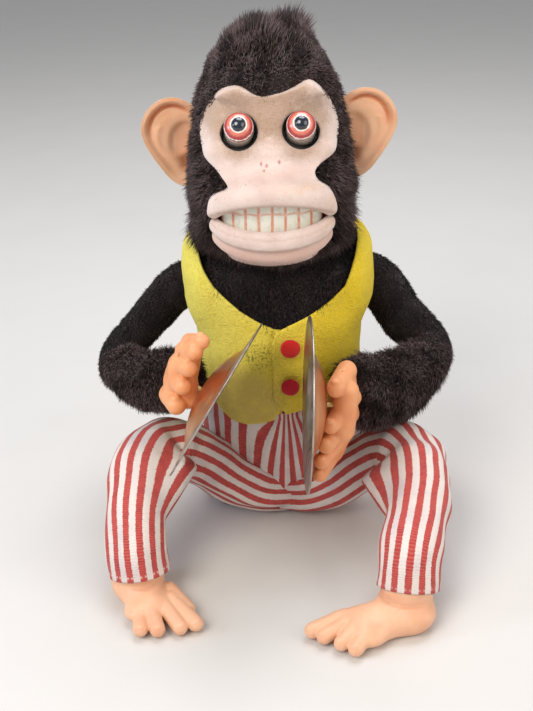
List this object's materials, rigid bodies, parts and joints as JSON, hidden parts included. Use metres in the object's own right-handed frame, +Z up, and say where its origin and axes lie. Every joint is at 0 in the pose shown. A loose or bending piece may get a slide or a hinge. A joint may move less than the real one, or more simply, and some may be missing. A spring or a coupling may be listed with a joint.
{
  "type": "cymbal-clapping toy monkey",
  "caption": "Seated plush monkey toy with swinging arms that clap two metal cymbals, a head that is pressed down, eyes that slide and lips that open.",
  "frame": {"origin": "centre of the battery box's flat underside, which rests on the table", "axes": "+Z up, the toy faces -Y, its own right hand is on the -X side"},
  "size_m": [0.1941, 0.2125, 0.2641],
  "materials": {
    "head_plush": "long-pile plush",
    "body_plush": "short-pile plush",
    "face_felt": "flocked felt",
    "vinyl": "soft satin vinyl",
    "yellow_felt": "pressed felt",
    "red_felt": "felt",
    "striped_cloth": "woven stripe",
    "cymbal_metal": "polished nickel plate",
    "eye_plastic": "gloss",
    "teeth": "satin print",
    "mouth_red": "matt",
    "tin": "bright tinplate",
    "steel": "plain",
    "brass": "plain",
    "white_plastic": "moulded",
    "black_plastic": "moulded",
    "cell_sleeve": "printed sleeve"
  },
  "bodies": {
    "base": {"battery_box": "black_plastic", "right_battery": "cell_sleeve", "left_battery": "cell_sleeve", "contact_spring": "steel", "contact_plate": "brass", "case_front": "tin", "case_back": "tin", "gear_plate_left": "steel", "gear_plate_right": "steel", "motor": "steel", "neck_bush": "brass", "right_shoulder_pin": "steel", "left_shoulder_pin": "steel", "chest_plush": "body_plush", "vest_back": "yellow_felt", "vest_right_front": "yellow_felt", "vest_left_front": "yellow_felt", "upper_button": "red_felt", "lower_button": "red_felt", "trouser_seat": "striped_cloth", "right_trouser_leg": "striped_cloth", "left_trouser_leg": "striped_cloth", "right_leg_wire": "steel", "left_leg_wire": "steel", "right_foot": "vinyl", "left_foot": "vinyl"},
    "hatch": {"battery_hatch": "black_plastic", "contact_bridge": "brass"},
    "switch": {"power_switch": "white_plastic"},
    "crank": {"crank_gear": "white_plastic"},
    "reduction": {"reduction_gear": "white_plastic"},
    "pinion": {"motor_pinion": "brass"},
    "yoke": {"drive_yoke": "steel"},
    "right_arm": {"right_arm_lever": "steel", "right_upper_sleeve": "body_plush", "right_forearm_sleeve": "head_plush", "right_hand": "vinyl", "right_cymbal_rivet": "brass"},
    "left_arm": {"left_arm_lever": "steel", "left_upper_sleeve": "body_plush", "left_forearm_sleeve": "head_plush", "left_hand": "vinyl", "left_cymbal_rivet": "brass"},
    "right_cymbal_disc": {"right_cymbal": "cymbal_metal"},
    "left_cymbal_disc": {"left_cymbal": "cymbal_metal"},
    "head": {"neck_post": "steel", "neck_spring": "steel", "skull_front": "black_plastic", "skull_back": "black_plastic", "right_ear": "vinyl", "left_ear": "vinyl", "face_mask": "face_felt", "head_plush": "head_plush", "teeth_plate": "teeth", "mouth_liner": "mouth_red"},
    "eyes": {"eye_carriage": "white_plastic", "right_eye": "eye_plastic", "left_eye": "eye_plastic"},
    "upper_lip_flap": {"upper_lip": "face_felt"},
    "lower_lip_flap": {"lower_lip": "face_felt"}
  },
  "joints": [
    {"name": "hatch_hinge", "type": "hinge", "parent": "base", "child": "hatch", "pos_m": [0, 0.0384, 0.0034], "axis": [-1, 0, 0], "range_deg": [0, 85]},
    {"name": "power_switch_slide", "type": "slide", "parent": "base", "child": "switch", "axis": [1, 0, 0], "range_m": [0, 0.0055]},
    {"name": "crank_spin", "type": "hinge", "parent": "base", "child": "crank", "pos_m": [0, -0.001, 0.09845], "axis": [1, 0, 0], "continuous": true},
    {"name": "reduction_spin", "type": "hinge", "parent": "base", "child": "reduction", "pos_m": [0, -0.006, 0.076], "axis": [1, 0, 0], "continuous": true},
    {"name": "pinion_spin", "type": "hinge", "parent": "base", "child": "pinion", "pos_m": [0, 0.006, 0.06], "axis": [1, 0, 0], "continuous": true},
    {"name": "right_arm_swing", "type": "hinge", "parent": "base", "child": "right_arm", "pos_m": [-0.0395, 0, 0.128], "axis": [0, 0, 1], "range_deg": [-6.5, 6.4]},
    {"name": "left_arm_swing", "type": "hinge", "parent": "base", "child": "left_arm", "pos_m": [0.0395, 0, 0.128], "axis": [0, 0, 1], "range_deg": [-6.4, 6.5]},
    {"name": "yoke_slide", "type": "slide", "parent": "base", "child": "yoke", "axis": [0, 1, 0], "range_m": [-0.0016, 0.0016]},
    {"name": "right_cymbal_spin", "type": "hinge", "parent": "right_arm", "child": "right_cymbal_disc", "pos_m": [-0.033, -0.094, 0.1025], "axis": [0.8406, -0.2229, -0.4937], "continuous": true},
    {"name": "left_cymbal_spin", "type": "hinge", "parent": "left_arm", "child": "left_cymbal_disc", "pos_m": [0.0125, -0.098, 0.0999], "axis": [-0.9989, 0, 0.046], "continuous": true},
    {"name": "head_press", "type": "slide", "parent": "base", "child": "head", "axis": [0, 0, 1], "range_m": [-0.003, 0], "stiffness_N_per_m": 1500, "springref_m": 0.003, "deforming": ["neck_spring"]},
    {"name": "eye_slide", "type": "slide", "parent": "head", "child": "eyes", "axis": [0, -0.848, 0.5299], "range_m": [-0.007, 0]},
    {"name": "upper_lip_hinge", "type": "hinge", "parent": "head", "child": "upper_lip_flap", "pos_m": [-0.0028, -0.05, 0.1865], "axis": [1, 0, 0], "range_deg": [0, 16.5]},
    {"name": "lower_lip_hinge", "type": "hinge", "parent": "head", "child": "lower_lip_flap", "pos_m": [-0.0028, -0.048, 0.1775], "axis": [-1, 0, 0], "range_deg": [0, 16.5]}
  ],
  "couplings": [
    {"joint": "crank_spin", "follows": "reduction_spin", "ratio": -0.27778},
    {"joint": "pinion_spin", "follows": "reduction_spin", "ratio": -4},
    {"joint": "left_arm_swing", "follows": "right_arm_swing", "ratio": -1},
    {"joint": "yoke_slide", "follows": "right_arm_swing", "m_per_rad": 0.01355},
    {"joint": "upper_lip_hinge", "follows": "eye_slide", "rad_per_m": -38.5},
    {"joint": "lower_lip_hinge", "follows": "eye_slide", "rad_per_m": -38.5}
  ]
}
